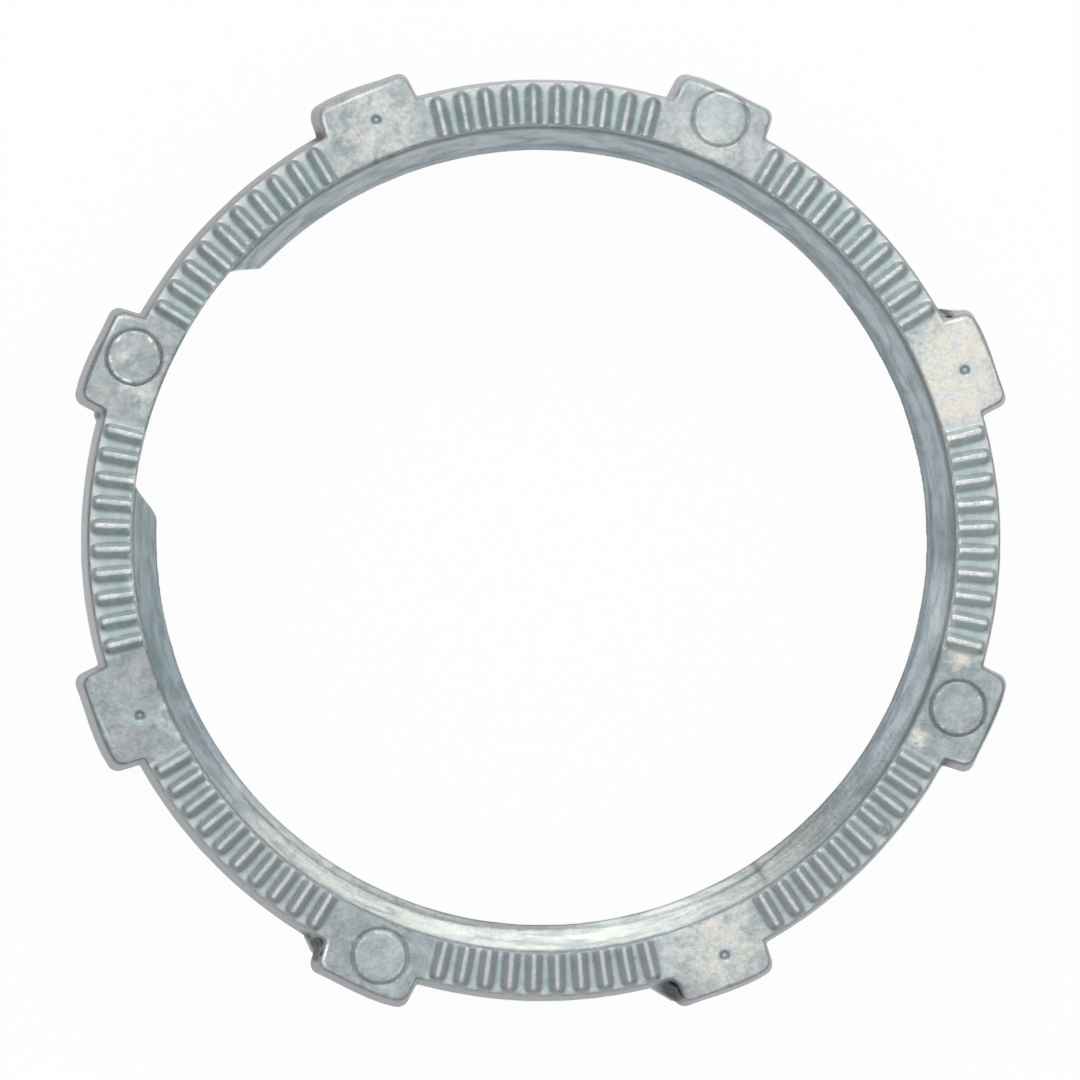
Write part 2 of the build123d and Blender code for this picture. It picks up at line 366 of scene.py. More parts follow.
# Painted highlights on stretches of the edges of lug faces: angle in degrees, distance from the axis,
# spread in millimetres and strength
PAINTED_EDGE_HIGHLIGHTS = [
    (28.9, 41.6, 1.0, 1.8),
    (68.0, 42.4, 2.4, 0.8),
    (72.5, 41.5, 1.0, 0.6),
    (113.0, 42.4, 2.6, 0.8),
    (117.8, 41.6, 1.1, 0.7),
    (153.2, 42.3, 1.4, 0.8),
    (203.0, 42.3, 1.2, 0.4),
    (242.3, 41.5, 0.9, 1.4),
    (331.8, 42.0, 0.8, 0.5),
]


def sizes():
    return bpy.context.scene.locknut_sizes


def colours():
    return bpy.context.scene.locknut_colours


def ring_radius(level):
    s = sizes()
    face = s.bore_radius + s.face_wall
    return {"face": face, "parting": face + s.parting_flare, "back": face + s.back_flare}[level]


def tip_radius(level):
    s = sizes()
    reach = {"face": s.lug_face_reach, "parting": s.lug_parting_reach, "back": s.lug_back_reach}
    return ring_radius(level) + reach[level]


def lug_half_width(level):
    s = sizes()
    extra = {"face": 0.0, "parting": s.lug_draft, "back": s.lug_draft / 2}
    return s.lug_half_width + extra[level]


def level_height(level):
    s = sizes()
    return {"face": s.face_height, "parting": s.parting_height, "back": 0.0}[level]


def polar_place(degrees_round, radius):
    return radius * cos(radians(degrees_round)), radius * sin(radians(degrees_round))


def turned(x, y, angle_round):
    """A place turned about the axis."""
    return x * cos(angle_round) - y * sin(angle_round), x * sin(angle_round) + y * cos(angle_round)


def read_places(mesh):
    places = np.empty(len(mesh.vertices) * 3)
    mesh.vertices.foreach_get("co", places)
    return places.reshape(-1, 3)


def write_places(mesh, places):
    mesh.vertices.foreach_set("co", places.reshape(-1))
    mesh.update()


def count_triangles(mesh):
    return sum(len(face.vertices) - 2 for face in mesh.polygons)


# Tools for working in edit mode
def clear_selection():
    active = bpy.context.view_layer.objects.active
    if active and active.mode != "OBJECT":
        bpy.ops.object.mode_set(mode="OBJECT")
    bpy.ops.object.select_all(action="DESELECT")


def begin(name):
    """Apply the place of the new primitive, name it and open it in edit mode."""
    piece = bpy.context.view_layer.objects.active
    piece.name = name
    piece.data.name = name
    bpy.ops.object.transform_apply(location=True, rotation=True, scale=True)
    bpy.ops.object.mode_set(mode="EDIT")
    return piece


def pick(piece, test, kind="VERT"):
    """Select the vertices, edges or faces of a piece whose vertices all pass the test."""
    bpy.ops.mesh.select_mode(type=kind)
    bpy.ops.mesh.select_all(action="DESELECT")
    mesh = bmesh.from_edit_mesh(piece.data)
    groups = {"VERT": mesh.verts, "EDGE": mesh.edges, "FACE": mesh.faces}
    for item in groups[kind]:
        corners = [item] if kind == "VERT" else item.verts
        if all(test(corner.co) for corner in corners):
            item.select_set(True)
    mesh.select_flush_mode()
    bmesh.update_edit_mesh(piece.data)


def cut_level(point, normal):
    """Cut the whole open piece along a plane, and keep both sides."""
    bpy.ops.mesh.select_all(action="SELECT")
    bpy.ops.mesh.bisect(plane_co=point, plane_no=normal)


def near(value, target):
    return abs(value - target) < MERGE


def copy_round(count, step):
    """Copy all of the open piece round the axis, so that there are count copies a step apart."""
    bpy.ops.mesh.select_all(action="SELECT")
    for number in range(count - 1):
        bpy.ops.mesh.duplicate()
        bpy.ops.transform.rotate(value=step, orient_axis="Z", center_override=(0, 0, 0))


def turn(value):
    bpy.ops.mesh.select_all(action="SELECT")
    bpy.ops.transform.rotate(value=value, orient_axis="Z", center_override=(0, 0, 0))


def close_piece():
    bpy.ops.mesh.select_all(action="SELECT")
    bpy.ops.mesh.normals_make_consistent(inside=False)
    bpy.ops.object.mode_set(mode="OBJECT")


def add_block(low, high, name):
    size = [b - a for a, b in zip(low, high)]
    middle = [(a + b) / 2 for a, b in zip(low, high)]
    clear_selection()
    bpy.ops.mesh.primitive_cube_add(size=1, location=middle, scale=size)
    return begin(name)


class LOCKNUT_OT_ring(bpy.types.Operator):
    """Draw the section of the ring from the bore outwards, all the way round"""

    bl_idname = "locknut.ring"
    bl_label = "Ring"

    def execute(self, context):
        s = sizes()
        clear_selection()
        bpy.ops.mesh.primitive_circle_add(vertices=s.ring_steps, radius=s.bore_radius, location=(0, 0, 0))
        begin("ring_blank")
        section = [
            (s.bore_radius, 0.0),
            (ring_radius("back") - s.back_edge, 0.0),
            (ring_radius("back"), s.back_edge),
            (ring_radius("parting"), s.parting_height),
            (ring_radius("face"), s.face_height),
            (s.bore_radius + s.bore_edge, s.face_height),
            (s.bore_radius, s.face_height - s.bore_edge),
            (s.bore_radius, 0.0),
        ]
        for (radius, height), (next_radius, next_height) in zip(section, section[1:]):
            bpy.ops.mesh.extrude_region_move(
                TRANSFORM_OT_translate={"value": (0, 0, next_height - height)}
            )
            grow = next_radius / radius
            bpy.ops.transform.resize(value=(grow, grow, 1), center_override=(0, 0, next_height))
        bpy.ops.mesh.select_all(action="SELECT")
        bpy.ops.mesh.remove_doubles(threshold=MERGE)
        close_piece()
        return {"FINISHED"}


class LOCKNUT_OT_lugs(bpy.types.Operator):
    """Shape one lug from a block with draft, round its tip, and copy it round the ring"""

    bl_idname = "locknut.lugs"
    bl_label = "Driving lugs"

    def execute(self, context):
        s = sizes()
        root = ring_radius("face") - s.lug_root
        tip = tip_radius("face")
        half = s.lug_half_width
        before_tip = tip - 0.5 * MM
        before_corner = half - 0.6 * MM
        face_rim = 0.12 * MM
        lug = add_block((root, -half, 0), (tip, half, s.face_height), "lugs")
        cut_level((0, 0, s.parting_height), (0, 0, 1))
        for level in ("face", "parting", "back"):
            height = level_height(level)
            foot = lug_half_width(level) + s.lug_taper * s.lug_root / s.lug_face_reach
            end = lug_half_width(level) - s.lug_taper
            pick(lug, lambda co: near(co.z, height) and co.x < root + MM)
            bpy.ops.transform.resize(value=(1, foot / half, 1), center_override=(0, 0, height))
            pick(lug, lambda co: near(co.z, height) and co.x > root + MM)
            bpy.ops.transform.resize(value=(1, end / half, 1), center_override=(0, 0, height))
            bpy.ops.transform.translate(value=(tip_radius(level) - tip, 0, 0))
        for share in (-0.6, -0.3, 0.0, 0.3, 0.6):
            side = share * half
            cut_level((0, side, 0), (0, 1, 0))
            pick(lug, lambda co: near(co.y, side) and co.x > before_tip)
            bpy.ops.transform.translate(value=(s.lug_crown * (1 - share * share), 0, 0))
        pick(lug, lambda co: co.x > before_tip and abs(co.y) > before_corner, "EDGE")
        bpy.ops.mesh.bevel(offset=s.lug_corner, segments=5, affect="EDGES")
        pick(lug, lambda co: near(co.z, s.face_height), "FACE")
        bpy.ops.mesh.inset(thickness=face_rim, depth=0)
        pick(lug, lambda co: near(co.z, s.face_height), "FACE")
        turn(s.lug_first)
        copy_round(s.lug_count, 2 * pi / s.lug_count)
        close_piece()
        return {"FINISHED"}


class LOCKNUT_OT_foot_webs(bpy.types.Operator):
    """Set slanted blocks in the feet of some lugs, which die out towards the face"""

    bl_idname = "locknut.foot_webs"
    bl_label = "Foot webs"

    def execute(self, context):
        s = sizes()
        depth = 1.6 * MM
        top = s.face_height - 0.1 * MM
        bend = s.parting_height + 0.6 * MM
        radius = ring_radius("parting") - 0.03 * MM
        half = lug_half_width("parting")
        for number, side, width, reach in FOOT_WEBS:
            width = width * MM
            reach = reach * MM
            on_ring = (sqrt(radius ** 2 - (half + width) ** 2), half + width)
            on_lug = (sqrt(radius ** 2 - half ** 2) + reach, half - s.lug_taper * reach / s.lug_face_reach)
            across = on_ring[1] - on_lug[1]
            along = on_lug[0] - on_ring[0]
            slant = hypot(across, along)
            inward = (-across / slant, -side * along / slant)
            middle_x = (on_ring[0] + on_lug[0]) / 2 + inward[0] * depth / 2
            middle_y = side * (on_ring[1] + on_lug[1]) / 2 + inward[1] * depth / 2
            place = s.lug_first + number * 2 * pi / s.lug_count
            clear_selection()
            bpy.ops.mesh.primitive_cube_add(
                size=1,
                location=(*turned(middle_x, middle_y, place), s.face_height / 2),
                rotation=(0, 0, place + atan2(-side * across, along)),
                scale=(slant, depth, top),
            )
            web = begin("foot_web_" + str(number))
            cut_level((0, 0, bend), (0, 0, 1))
            rise = width * reach / slant + 0.25 * MM
            pick(web, lambda co: co.z > bend + MM)
            back_x, back_y = turned(inward[0], inward[1], place)
            bpy.ops.transform.translate(value=(back_x * rise, back_y * rise, 0))
            close_piece()
        return {"FINISHED"}


class LOCKNUT_OT_ribs(bpy.types.Operator):
    """Shape one rib with a round outer end, and copy it into the groups between the lugs"""

    bl_idname = "locknut.ribs"
    bl_label = "Bearing ribs"

    def execute(self, context):
        s = sizes()
        height = CAD_TOP - s.face_height
        slope = (s.rib_base - s.rib_crest) / 2 / height
        foot = s.rib_base / 2 + slope * s.rib_root
        low = s.face_height - s.rib_root
        end = ring_radius("face") - s.rib_setback - s.rib_base / 2
        rib = add_block((s.bore_radius + s.bore_edge, -foot, low), (end, foot, CAD_TOP), "ribs")
        pick(rib, lambda co: near(co.z, CAD_TOP))
        bpy.ops.transform.resize(
            value=(1, s.rib_crest / 2 / foot, 1), center_override=(0, 0, CAD_TOP)
        )
        bpy.ops.object.mode_set(mode="OBJECT")
        clear_selection()
        bpy.ops.mesh.primitive_cone_add(
            vertices=24,
            radius1=foot,
            radius2=s.rib_crest / 2,
            depth=CAD_TOP - low,
            location=(end, 0, (CAD_TOP + low) / 2),
        )
        bpy.ops.object.transform_apply(location=True, rotation=True, scale=True)
        rib.select_set(True)
        context.view_layer.objects.active = rib
        bpy.ops.object.join()
        bpy.ops.object.mode_set(mode="EDIT")
        pick(rib, lambda co: near(co.z, CAD_TOP) and co.x > end - MM)
        bpy.ops.transform.translate(value=(s.rib_end_steep, 0, 0))
        lug_step = 2 * pi / s.lug_count
        turn(s.lug_first + lug_step / 2 - (s.ribs_in_group - 1) * s.rib_pitch / 2)
        copy_round(s.ribs_in_group, s.rib_pitch)
        copy_round(s.lug_count, lug_step)
        close_piece()
        return {"FINISHED"}


def round_step(share, softness):
    """0 to 1 along a straight ramp whose two ends are eased."""
    eased = np.clip(share, 0, 1)
    blend = eased * eased * (3 - 2 * eased)
    return eased * (1 - softness) + blend * softness


class LOCKNUT_OT_thread(bpy.types.Operator):
    """Wind the section of the thread round the bore, and run out its two ends"""

    bl_idname = "locknut.thread"
    bl_label = "Thread ridge"

    def execute(self, context):
        s = sizes()
        crest = s.bore_radius - s.thread_depth
        outer = s.bore_radius + 0.5 * MM
        ramp_foot = 0.25 * MM
        step_height = 0.15 * MM
        columns = 12
        turn_steps = 330
        slope = tan(s.thread_flank)
        begin_angle = s.thread_back_end - s.thread_ramp
        sweep = s.thread_face_end + s.thread_ramp + 2 * pi - begin_angle
        lead = s.thread_pitch / (2 * pi)
        root_width = s.thread_flat + 2 * s.thread_depth * slope
        sunk_turn = 2 * pi + s.thread_face_end - begin_angle
        start = s.face_height - s.thread_sunk - root_width / 2 - sunk_turn * lead
        clear_selection()
        bpy.ops.mesh.primitive_grid_add(
            x_subdivisions=columns,
            y_subdivisions=1,
            size=1,
            location=((crest + outer) / 2, 0, start),
            rotation=(pi / 2, 0, 0),
        )
        context.object.scale = (outer - crest, 0.001, 1)
        ridge = begin("thread_ridge")
        for step in range(columns + 1):
            radius = crest + (outer - crest) * step / columns
            half = s.thread_flat / 2 + (radius - crest) * slope
            pick(ridge, lambda co: abs(co.x - radius) < 0.02 * MM)
            now = max(abs(v.co.z - start) for v in bmesh.from_edit_mesh(ridge.data).verts if v.select)
            bpy.ops.transform.resize(value=(1, 1, half / now), center_override=(radius, 0, start))
        bpy.ops.mesh.select_all(action="SELECT")
        bpy.ops.mesh.delete(type="ONLY_FACE")
        bpy.ops.object.mode_set(mode="OBJECT")
        winding = ridge.modifiers.new("winding", "SCREW")
        winding.axis = "Z"
        winding.angle = sweep
        winding.screw_offset = lead * sweep
        winding.steps = turn_steps
        winding.render_steps = turn_steps
        winding.use_merge_vertices = False
        bpy.ops.object.modifier_apply(modifier="winding")
        places = read_places(ridge.data)
        around = np.arctan2(places[:, 1], places[:, 0]) % (2 * pi)
        around = np.where(around > sweep + 0.01, 0.0, around)
        radius = np.hypot(places[:, 0], places[:, 1])
        height = places[:, 2]
        first = round_step(around / s.thread_ramp, 0.6)
        last = round_step((sweep - around) / s.thread_ramp, 0.6)
        ramp = s.bore_radius + ramp_foot - (s.thread_depth + ramp_foot) * np.minimum(first, last)
        above = height - (s.face_height - s.lead_in_depth)
        lead_in = crest + s.lead_in_step * round_step(above / step_height, 1.0) + s.lead_in_slope * above
        lead_out = crest + s.lead_out_slope * (s.face_height - s.lead_out_depth - height)
        limit = np.maximum(np.maximum(ramp, lead_in), lead_out)
        limit = np.minimum(limit, outer - 0.05 * MM)
        radius = np.maximum(radius, limit)
        places[:, 0] = radius * np.cos(around + begin_angle)
        places[:, 1] = radius * np.sin(around + begin_angle)
        write_places(ridge.data, places)
        bpy.ops.object.mode_set(mode="EDIT")
        bpy.ops.mesh.select_all(action="SELECT")
        bpy.ops.mesh.fill_holes(sides=0)
        close_piece()
        return {"FINISHED"}


def bell(distance, width):
    return np.exp(-((distance / width) ** 2))


def core_line_fields(x, y):
    """How far each point lies outside the core line in millimetres, and the line's and the skin's shades."""
    around = np.degrees(np.arctan2(y, x)) % 360
    around = np.where(around < 200, around + 360, around)
    angles = [row[0] for row in CORE_LINE]
    fields = [np.interp(around, angles, [row[column] for row in CORE_LINE]) for column in (1, 2, 3, 4)]
    gap = np.hypot(x, y) / MM - fields[0]
    return gap, fields[1], fields[2], fields[3]


def on_upper_flank(x, y, z):
    """Whether each point lies on the flank of the thread that faces up, off its two ends."""
    s = sizes()
    around = np.degrees(np.arctan2(y, x)) % 360
    around = np.where(around < degrees(s.thread_back_end) - 5, around + 360, around)
    lead = s.thread_pitch / 360
    root_width = s.thread_flat + 2 * s.thread_depth * tan(s.thread_flank)
    last = degrees(s.thread_face_end) + 360
    middle = s.face_height - s.thread_sunk - root_width / 2 - (last - around) * lead
    return (np.hypot(x, y) < s.bore_radius - 0.1 * MM) & (z > middle) & (around < last)


def carve_marks(places):
    """Sink and raise the marks of pins and pips, the pits and the core line in the fused skin."""
    s = sizes()
    x = places[:, 0]
    y = places[:, 1]
    z = places[:, 2]
    face = z > s.face_height - 0.35 * MM
    low_face = face & (z < s.face_height + 0.1 * MM)
    tip = tip_radius("face")
    pin_radius = s.pin_diameter / 2
    groove_width = 0.13 * MM
    disc_edge = 0.12 * MM
    for degrees_round, inset, rise, _, _, _ in PIN_MARKS:
        px, py = polar_place(degrees_round, tip - inset * MM)
        away = np.hypot(x - px, y - py)
        disc = np.clip((pin_radius - 0.18 * MM - away) / disc_edge, 0, 1)
        groove = bell(away - (pin_radius - 0.1 * MM), groove_width)
        change = rise * MM * disc - s.pin_groove * groove
        z[low_face] += change[low_face]
    pip_ring_width = 0.15 * MM
    for degrees_round, inset in PIP_MARKS:
        px, py = polar_place(degrees_round, tip - inset * MM)
        away = np.hypot(x - px, y - py)
        ring = bell(away - s.pip_ring / 2, pip_ring_width)
        z[low_face] -= (s.pip_depth * ring)[low_face]
    degrees_round, inset, width, depth = BLOW_HOLE
    blow_hole = (degrees_round, ring_radius("face") / MM - inset, width, depth)
    for degrees_round, distance, spread, depth in PITS + [blow_hole]:
        px, py = polar_place(degrees_round, distance * MM)
        hole = depth * MM * bell(np.hypot(x - px, y - py), spread * MM)
        z[face] -= hole[face]
    gap, line, _, _ = core_line_fields(x, y)
    upper_flank = on_upper_flank(x, y, z)
    sunk = line * (0.05 * np.clip(0.5 - gap / 0.2, 0, 1) + 0.06 * bell(gap, 0.12)) * MM
    z[upper_flank] -= sunk[upper_flank]
    return places


def displace(piece, name, scale, strength):
    """Let the skin wander with a soft cloud pattern."""
    cloud = bpy.data.textures.new(name, "CLOUDS")
    cloud.noise_scale = scale
    cloud.noise_depth = 2
    wander = piece.modifiers.new(name, "DISPLACE")
    wander.texture = cloud
    wander.texture_coords = "LOCAL"
    wander.strength = strength
    wander.mid_level = 0.5
    bpy.ops.object.modifier_apply(modifier=name)


def keep_in_box(piece):
    """Pull back the points that the wandering of the skin left outside the solid's box."""
    low, high = CAD_BOX
    margin = 0.001 * MM
    places = np.clip(read_places(piece.data), np.array(low) + margin, np.array(high) - margin)
    write_places(piece.data, places)


class LOCKNUT_OT_casting(bpy.types.Operator):
    """Fuse the pieces into one casting, soften its edges and carve the marks of the die"""

    bl_idname = "locknut.casting"
    bl_label = "Fuse casting"

    def execute(self, context):
        s = sizes()
        clear_selection()
        names = ["ring_blank", "lugs", "ribs", "thread_ridge"]
        names += ["foot_web_" + str(number) for number, _, _, _ in FOOT_WEBS]
        for name in names:
            bpy.data.objects[name].select_set(True)
        nut = bpy.data.objects["ring_blank"]
        context.view_layer.objects.active = nut
        bpy.ops.object.join()
        nut.name = "nut_casting"
        nut.data.name = "nut_casting"
        fuse = nut.modifiers.new("fuse", "REMESH")
        fuse.mode = "VOXEL"
        fuse.voxel_size = s.grain * 1.0
        bpy.ops.object.modifier_apply(modifier="fuse")
        soften = nut.modifiers.new("soften", "SMOOTH")
        soften.factor = 0.5
        soften.iterations = 2
        bpy.ops.object.modifier_apply(modifier="soften")
        displace(nut, "skin", 2.2 * MM, s.unevenness)
        write_places(nut.data, carve_marks(read_places(nut.data)))
        thin = nut.modifiers.new("thin", "DECIMATE")
        thin.ratio = min(1.0, MOST_TRIANGLES / count_triangles(nut.data))
        bpy.ops.object.modifier_apply(modifier="thin")
        keep_in_box(nut)
        bpy.ops.object.shade_smooth()
        print("casting triangles", count_triangles(nut.data))
        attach(nut, "root")
        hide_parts("locknut")
        return {"FINISHED"}


# Tools for building materials
class Desk:
    """A node tree with short calls for the nodes that the finishes use."""

    def __init__(self, material):
        material.use_nodes = True
        self.tree = material.node_tree
        self.tree.nodes.clear()

    def node(self, kind, **settings):
        made = self.tree.nodes.new(kind)
        for name, value in settings.items():
            setattr(made, name, value)
        return made

    def link(self, output, target):
        self.tree.links.new(output, target)

    def put(self, socket, value):
        if isinstance(value, bpy.types.NodeSocket):
            self.link(value, socket)
        else:
            socket.default_value = value

    def math(self, operation, first, second=0.0, clamp=False):
        made = self.node("ShaderNodeMath", operation=operation, use_clamp=clamp)
        self.put(made.inputs[0], first)
        self.put(made.inputs[1], second)
        return made.outputs[0]

    def plus(self, first, second):
        return self.math("ADD", first, second)

    def minus(self, first, second):
        return self.math("SUBTRACT", first, second)

    def times(self, first, *others, clamp=False):
        """The product of the values, kept between 0 and 1 if it is clamped."""
        for other in others:
            first = self.math("MULTIPLY", first, other, clamp)
        return first

    def most(self, first, *others):
        """The largest of the values."""
        for other in others:
            first = self.math("MAXIMUM", first, other)
        return first

    def span(self, value, low, high, to_low=0.0, to_high=1.0, kind="SMOOTHSTEP"):
        made = self.node("ShaderNodeMapRange", interpolation_type=kind)
        self.put(made.inputs["Value"], value)
        made.inputs["From Min"].default_value = low
        made.inputs["From Max"].default_value = high
        made.inputs["To Min"].default_value = to_low
        made.inputs["To Max"].default_value = to_high
        return made.outputs["Result"]

    def noise(self, vector, scale, detail=3.0, roughness=0.55, warp=0.0):
        made = self.node("ShaderNodeTexNoise")
        self.put(made.inputs["Vector"], vector)
        made.inputs["Scale"].default_value = scale
        made.inputs["Detail"].default_value = detail
        made.inputs["Roughness"].default_value = roughness
        made.inputs["Distortion"].default_value = warp
        return made.outputs["Fac"]

    def mix(self, share, first, second, blend="MIX"):
        made = self.node("ShaderNodeMix", data_type="RGBA", blend_type=blend)
        self.put(made.inputs["Factor"], share)
        self.put(made.inputs[6], first)
        self.put(made.inputs[7], second)
        return made.outputs[2]

    def attribute(self, name):
        return self.node("ShaderNodeAttribute", attribute_name=name).outputs["Fac"]

    def grey(self, value):
        made = self.node("ShaderNodeCombineColor")
        for target in made.inputs[:3]:
            self.link(value, target)
        return made.outputs[0]

    def toned(self, colour_in, tone):
        """The colour, multiplied by a tone."""
        return self.mix(1.0, colour_in, self.grey(tone), "MULTIPLY")

    def moved(self, vector, offset=(0, 0, 0), stretch=(1, 1, 1)):
        made = self.node("ShaderNodeMapping")
        self.put(made.inputs["Vector"], vector)
        made.inputs["Location"].default_value = offset
        made.inputs["Scale"].default_value = stretch
        return made.outputs["Vector"]


def rgba(value):
    return (value[0], value[1], value[2], 1.0)


class SkinDesk(Desk):
    """A desk with the places, clouds and zones that the coats of the skin share, in millimetres."""

    def __init__(self, material):
        super().__init__(material)
        s = sizes()
        self.top = CAD_TOP / MM
        self.floor = s.face_height / MM
        self.bore = s.bore_radius / MM
        self.rim = ring_radius("face") / MM

        # Places
        where = self.node("ShaderNodeTexCoord").outputs["Object"]
        here = self.moved(where, stretch=(1 / MM, 1 / MM, 1 / MM))
        split = self.node("ShaderNodeSeparateXYZ")
        self.link(here, split.inputs[0])
        self.x, self.y, self.z = split.outputs
        squares = self.plus(self.times(self.x, self.x), self.times(self.y, self.y))
        self.radius = self.math("SQRT", squares)
        self.rightward = self.math("DIVIDE", self.x, self.radius)

        # Clouds of several sizes
        self.broad = self.noise(here, 0.16, 3.0, 0.6, 0.3)
        self.mottle = self.noise(self.moved(here, (31, 7, 3)), 0.8, 4.0, 0.68, 0.3)
        self.patch = self.noise(self.moved(here, (-11, 23, 9)), 0.5, 4.0, 0.65, 0.5)
        self.blush = self.noise(self.moved(here, (17, -5, -13)), 0.7, 4.0, 0.65, 0.4)
        self.speck = self.noise(self.moved(here, (3, -17, 5)), 2.2, 3.0, 0.66)
        self.fine = self.noise(self.moved(here, (-7, 3, 1)), 4.5, 4.0, 0.72)

        # Streaks along the thread
        drawn_out = self.node("ShaderNodeCombineXYZ")
        self.link(self.math("DIVIDE", self.times(self.x, STREAKS_ROUND), self.radius), drawn_out.inputs[0])
        self.link(self.math("DIVIDE", self.times(self.y, STREAKS_ROUND), self.radius), drawn_out.inputs[1])
        self.link(self.times(self.radius, STREAKS_ACROSS), drawn_out.inputs[2])
        self.streak = self.noise(drawn_out.outputs[0], 1.0, 5.0, 0.6, 0.8)

        # Zones
        on_top = self.span(self.z, self.floor - 0.3, self.floor - 0.12)
        self.face = self.times(on_top, self.span(self.radius, self.bore - 0.1, self.bore + 0.1))
        self.outside = self.span(self.radius, self.bore + 2.0, self.bore + 3.0)
        self.on_ridge = self.span(self.radius, self.bore - 0.1, self.bore - 0.35)
        self.front = self.span(self.y, *FRONT)
        wavy = self.times(self.minus(self.mottle, 0.5), 0.2)
        self.core_gap = self.plus(self.attribute("core_gap"), wavy)
        ragged = self.times(self.minus(self.speck, 0.5), 0.12)
        self.inset = self.plus(self.attribute("face_inset"), ragged)

    def distance(self, px, py):
        """How far each point lies from a place, seen along the axis."""
        along = self.minus(self.x, px)
        aside = self.minus(self.y, py)
        return self.math("SQRT", self.plus(self.times(along, along), self.times(aside, aside)))


def plain_skin(desk):
    """Mottled zinc, in the tone and warmth of each lug and group of ribs."""
    c = colours()
    body = desk.mix(desk.span(desk.mottle, 0.36, 0.64), rgba(c.teal), rgba(c.zinc))
    body = desk.mix(desk.times(desk.span(desk.patch, 0.45, 0.68), 0.8), body, rgba(c.lavender))
    blushed = desk.plus(desk.blush, desk.times(desk.attribute("warmth"), 0.16))
    body = desk.mix(desk.times(desk.span(blushed, 0.5, 0.72), 0.6), body, rgba(c.warm))
    lift = desk.times(
        desk.span(desk.broad, 0.3, 0.7, 0.92, 1.08, "LINEAR"),
        desk.span(desk.mottle, 0.3, 0.7, 0.82, 1.18, "LINEAR"),
        desk.span(desk.speck, 0.25, 0.75, 0.86, 1.14, "LINEAR"),
        desk.span(desk.fine, 0.25, 0.75, 0.92, 1.08, "LINEAR"),
        desk.attribute("tone"),
    )
    return desk.toned(body, lift)


def stained_skin(desk, skin):
    """Pale worn stains on the lug faces."""
    c = colours()
    stain = desk.attribute("stain")
    worn = desk.plus(desk.times(desk.mottle, 0.8), desk.times(desk.speck, 0.5))
    share = desk.span(desk.plus(stain, worn), 0.78, 1.3, 0.0, 1.0, "LINEAR")
    share = desk.times(share, desk.span(stain, 0.02, 0.3))
    share = desk.times(share, desk.face, clamp=True)
    ivory = desk.mix(desk.span(desk.blush, 0.42, 0.62), rgba(c.ivory), rgba(c.pale_stain_and_valley_light))
    ivory = desk.toned(ivory, desk.span(desk.speck, 0.25, 0.75, 0.9, 1.1, "LINEAR"))
    return desk.mix(share, skin, ivory)


def wall_skin(desk, skin):
    """The smoother outer wall, with painted shade that changes from side to side as the lamps fall on it."""
    c = colours()
    on_wall = desk.times(desk.outside, desk.span(desk.z, desk.floor - 0.1, desk.floor - 0.4))
    wall = desk.mix(desk.span(desk.mottle, 0.35, 0.65, 0.72, 0.4), skin, rgba(c.wall))
    # Painted shade of the outer wall, by side
    wall = desk.toned(wall, desk.attribute("wall_painted_shade"))
    return desk.mix(on_wall, skin, wall)


def rib_places(desk):
    """Where the groups of ribs are, and how far each point lies from the middle of its rib.

    The distance is given once in ribs, with its sign, and once in millimetres."""
    s = sizes()
    lug_step = 2 * pi / s.lug_count
    around = desk.math("ARCTAN2", desk.y, desk.x)
    from_first = desk.minus(around, s.lug_first - s.lug_count * lug_step)
    in_group = desk.minus(desk.math("MODULO", from_first, lug_step), lug_step / 2)
    number = desk.plus(desk.math("DIVIDE", in_group, s.rib_pitch), (s.ribs_in_group - 1) / 2)
    offset = desk.minus(number, desk.math("ROUND", number))
    aside = desk.times(offset, s.rib_pitch, desk.radius)
    # Move the middle towards the far lamp, where the painted highlight on the crest lies
    aside = desk.minus(aside, desk.times(desk.rightward, HIGHLIGHT_SHIFT))
    group_half = s.rib_pitch * s.ribs_in_group / 2
    in_ribs = desk.span(desk.math("ABSOLUTE", in_group), group_half + 0.002, group_half - 0.004)
    return in_ribs, offset, desk.math("ABSOLUTE", aside)


